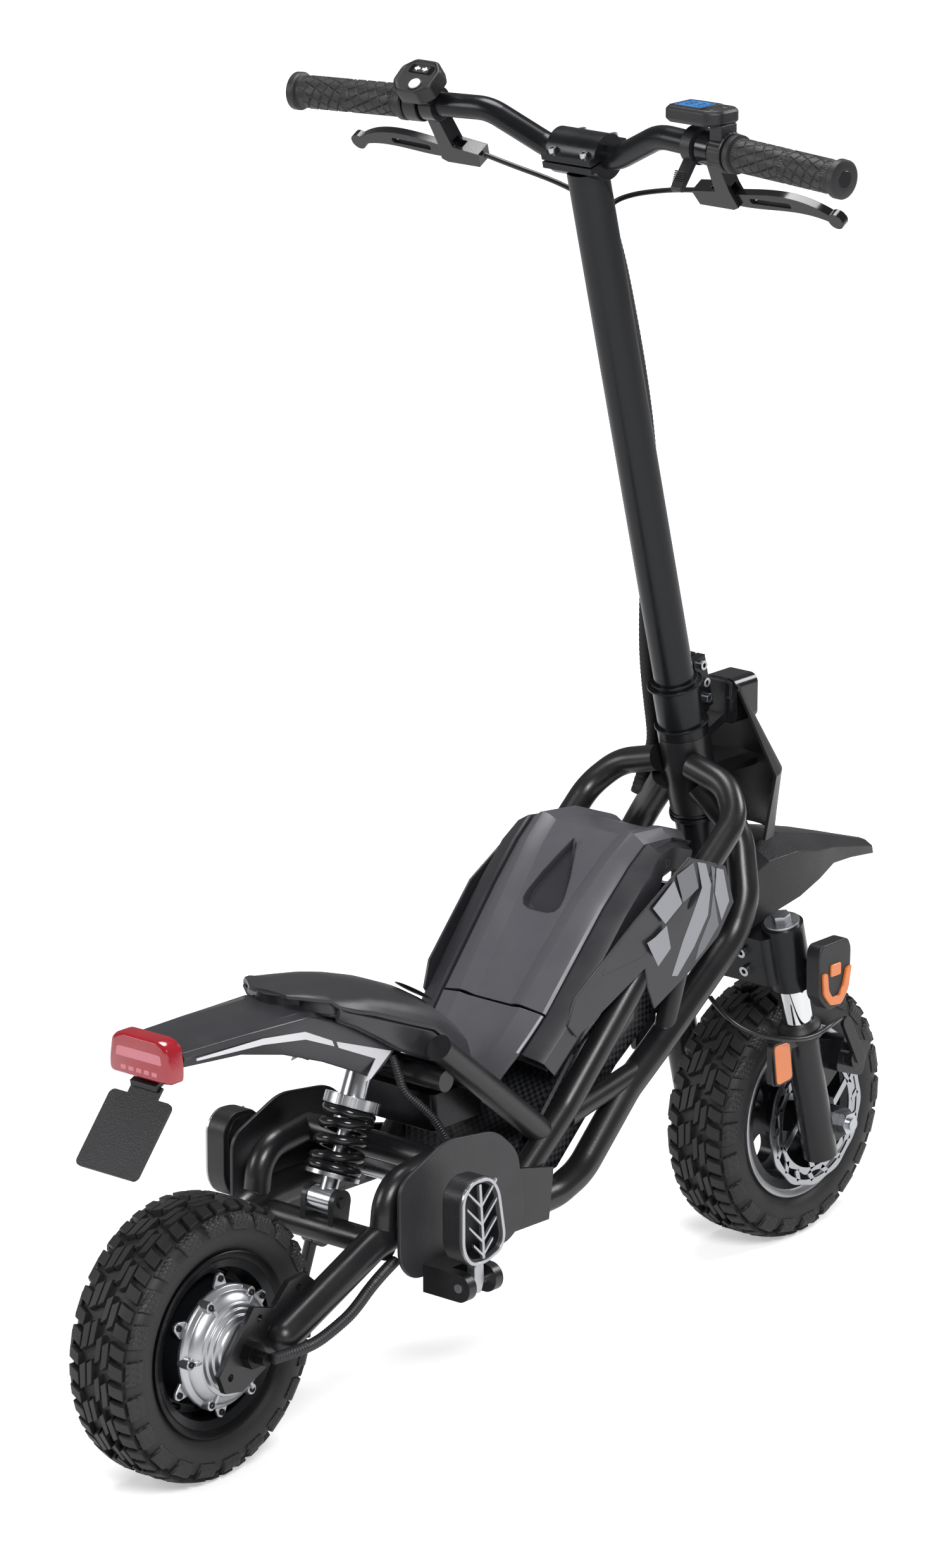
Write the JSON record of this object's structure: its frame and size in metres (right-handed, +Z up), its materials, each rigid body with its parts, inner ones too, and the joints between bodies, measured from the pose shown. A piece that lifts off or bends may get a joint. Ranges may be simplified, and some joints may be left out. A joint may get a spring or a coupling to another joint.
{
  "type": "electric kick scooter",
  "caption": "Standing electric scooter with knobby tyres, sprung fork and swingarm, hub motor, folding foot pegs, tank-style covers, wide bar and a kickstand.",
  "frame": {"origin": "on the ground, under the centre of the bounding box", "axes": "+X forward along the wheelbase, +Y to the rider's left, +Z up"},
  "size_m": [1.081, 0.631, 1.1644],
  "materials": {
    "frame_black": "satin black powder coat",
    "dark_metal": "satin anodised black",
    "chrome": "polished stanchion",
    "steel": "zinc-plated fasteners and disc",
    "alloy": "cast and machined alloy",
    "cover_grey": "satin graphite plastic",
    "cover_black": "grained black plastic",
    "woven": "battery case with woven-look panels",
    "seat": "soft-touch black skin",
    "rubber": "matt black rubber",
    "tyre": "matt tyre compound",
    "lens_red": "clear red lens",
    "lens_amber": "amber lens in a black case",
    "lamp": "clear headlamp lens in a black case",
    "screen": "black display case with a blue screen",
    "key": "light grey key",
    "spring": "gloss black coil"
  },
  "bodies": {
    "frame": {"head_tube": "frame_black", "headset_bearings": "steel", "upper_tubes": "frame_black", "main_tubes": "frame_black", "rear_subframe": "frame_black", "guard_plates": "dark_metal", "battery_box": "woven", "motor_controller": "dark_metal", "tank_cover": "cover_grey", "side_panels": "cover_grey", "tail_fairing": "cover_grey", "seat_cover": "seat", "tail_light": "lens_red", "number_plate": "cover_black", "shield": "cover_grey", "headlight": "lamp", "frame_brackets": "frame_black", "frame_pins": "steel", "frame_cables": "rubber"},
    "right_peg": {"right_foot_peg": "dark_metal"},
    "left_peg": {"left_foot_peg": "dark_metal"},
    "stand": {"kickstand": "alloy"},
    "steering": {"fork_crown": "dark_metal", "stanchions": "chrome", "stem_collar": "dark_metal", "steering_bolts": "steel", "stem_tube": "dark_metal", "handlebar": "dark_metal", "bar_clamp": "dark_metal", "grips": "rubber", "brake_perches": "dark_metal", "control_cables": "rubber", "control_pod": "cover_black", "display_housing": "screen", "front_fender": "cover_black", "turn_signals": "lens_amber"},
    "right_lever": {"right_brake_lever": "dark_metal"},
    "left_lever": {"left_brake_lever": "dark_metal"},
    "throttle_ring": {"throttle": "cover_black"},
    "power_key": {"power_button": "key"},
    "mode_key": {"mode_button": "key"},
    "horn_key": {"horn_button": "key"},
    "switch": {"signal_switch": "key"},
    "lowers": {"fork_lowers": "dark_metal", "front_axle": "steel", "brake_caliper": "dark_metal", "front_brake_hose": "rubber"},
    "front_wheel": {"front_tyre": "tyre", "front_rim": "dark_metal", "front_disc": "steel", "wheel_bearings": "steel"},
    "rear_arm": {"swingarm": "frame_black", "rear_axle": "steel", "motor_conduit": "rubber"},
    "rear_wheel": {"rear_tyre": "tyre", "rear_rim": "dark_metal", "motor_covers": "alloy"},
    "damper_body": {"shock_body": "alloy", "shock_spring": "spring"},
    "damper_shaft": {"shock_shaft": "alloy"}
  },
  "joints": [
    {"name": "steer", "type": "hinge", "parent": "frame", "child": "steering", "pos_m": [0.244, 0, 0.5837], "axis": [-0.2521, 0, 0.9677], "range_deg": [-30, 30]},
    {"name": "fork_slide", "type": "slide", "parent": "steering", "child": "lowers", "axis": [-0.2521, 0, 0.9677], "range_m": [0, 0.035], "stiffness_N_per_m": 8000, "springref_m": -0.03},
    {"name": "front_wheel_spin", "type": "hinge", "parent": "lowers", "child": "front_wheel", "pos_m": [0.402, 0, 0.1275], "axis": [0, 1, 0], "continuous": true},
    {"name": "swingarm_pivot", "type": "hinge", "parent": "frame", "child": "rear_arm", "pos_m": [-0.13, 0, 0.195], "axis": [0, 1, 0], "range_deg": [0, 8], "stiffness_Nm_per_rad": 400, "springref_deg": -6.88},
    {"name": "rear_wheel_spin", "type": "hinge", "parent": "rear_arm", "child": "rear_wheel", "pos_m": [-0.42, 0, 0.1275], "axis": [0, 1, 0], "continuous": true},
    {"name": "shock_top_pivot", "type": "hinge", "parent": "frame", "child": "damper_body", "pos_m": [-0.192, 0, 0.326], "axis": [0, 1, 0], "range_deg": [0, 1.92]},
    {"name": "shock_stroke", "type": "slide", "parent": "damper_body", "child": "damper_shaft", "axis": [0.4004, 0, 0.9163], "range_m": [0, 0.0156], "deforming": ["shock_spring"]},
    {"name": "right_peg_hinge", "type": "hinge", "parent": "frame", "child": "right_peg", "pos_m": [-0.206, -0.142, 0.152], "axis": [1, 0, 0], "range_deg": [0, 90]},
    {"name": "left_peg_hinge", "type": "hinge", "parent": "frame", "child": "left_peg", "pos_m": [-0.206, 0.142, 0.152], "axis": [-1, 0, 0], "range_deg": [0, 90]},
    {"name": "kickstand_hinge", "type": "hinge", "parent": "frame", "child": "stand", "pos_m": [-0.143, 0.105, 0.124], "axis": [0, 1, 0], "range_deg": [0, 85]},
    {"name": "right_brake", "type": "hinge", "parent": "steering", "child": "right_lever", "pos_m": [0.11872, -0.161, 1.0775], "axis": [-0.8571, 0, -0.5151], "range_deg": [0, 12], "stiffness_Nm_per_rad": 1.5, "springref_deg": -8.59},
    {"name": "left_brake", "type": "hinge", "parent": "steering", "child": "left_lever", "pos_m": [0.11872, 0.161, 1.0775], "axis": [0.8571, 0, 0.5151], "range_deg": [0, 12], "stiffness_Nm_per_rad": 1.5, "springref_deg": -8.59},
    {"name": "throttle_turn", "type": "hinge", "parent": "steering", "child": "throttle_ring", "pos_m": [0.09218, -0.14259, 1.12443], "axis": [0.0749, 0.9965, 0.0374], "range_deg": [0, 30], "stiffness_Nm_per_rad": 0.05, "springref_deg": -17.19},
    {"name": "power_press", "type": "slide", "parent": "steering", "child": "power_key", "axis": [0, 0, -1], "range_m": [0, 0.001], "stiffness_N_per_m": 400, "springref_m": -0.0005},
    {"name": "mode_press", "type": "slide", "parent": "steering", "child": "mode_key", "axis": [0, 0, -1], "range_m": [0, 0.001], "stiffness_N_per_m": 400, "springref_m": -0.0005},
    {"name": "horn_press", "type": "slide", "parent": "steering", "child": "horn_key", "axis": [0.6157, 0, -0.788], "range_m": [0, 0.001], "stiffness_N_per_m": 400, "springref_m": -0.0005},
    {"name": "signal_slide", "type": "slide", "parent": "steering", "child": "switch", "axis": [0, 1, 0], "range_m": [-0.0025, 0.0025]}
  ],
  "couplings": [
    {"joint": "shock_top_pivot", "follows": "swingarm_pivot", "ratio": 0.2363},
    {"joint": "shock_stroke", "follows": "swingarm_pivot", "m_per_rad": 0.11094}
  ]
}
